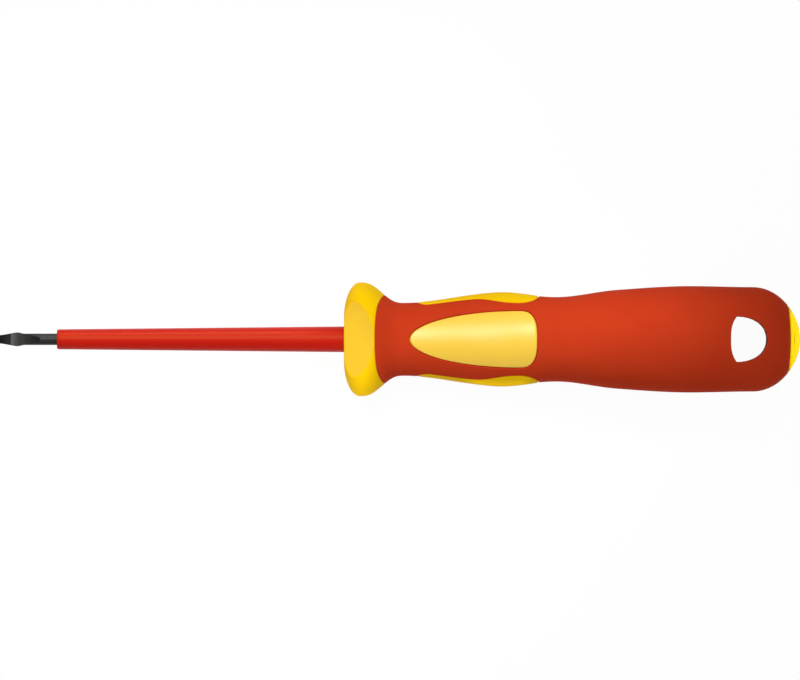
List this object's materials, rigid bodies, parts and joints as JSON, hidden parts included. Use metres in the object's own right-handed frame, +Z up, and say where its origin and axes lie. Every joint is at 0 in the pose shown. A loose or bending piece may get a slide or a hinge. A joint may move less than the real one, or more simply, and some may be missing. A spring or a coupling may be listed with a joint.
{
  "type": "insulated screwdriver",
  "caption": "Insulated slotted screwdriver with a sleeved blade, an anti-roll finger guard, soft inlaid grip pads and a hanging hole through the rear of the handle.",
  "frame": {"origin": "on the bench under the middle of the driver's length, where its palm swell and the flat of its guard rest", "axes": "+X along the blade's axis from the tip to the butt, +Z up, out of the scalloped side that also holds a thumb pad and the mouth of the hanging hole"},
  "size_m": [0.1744, 0.0248, 0.0232],
  "materials": {
    "blade_steel": "black oxide",
    "sleeve_plastic": "moulded, slight sheen",
    "core_plastic": "as moulded, out of sight",
    "grip_plastic": "moulded, satin",
    "soft_yellow": "soft elastomer, satin"
  },
  "bodies": {
    "root": {"blade": "blade_steel", "shaft_sleeve": "sleeve_plastic", "handle_core": "core_plastic", "guard_collar": "soft_yellow", "grip_body": "grip_plastic", "thumb_pad_top": "soft_yellow", "thumb_pad_bottom": "soft_yellow", "finger_pad_left": "soft_yellow", "finger_pad_right": "soft_yellow", "end_cap": "soft_yellow"}
  },
  "joints": []
}
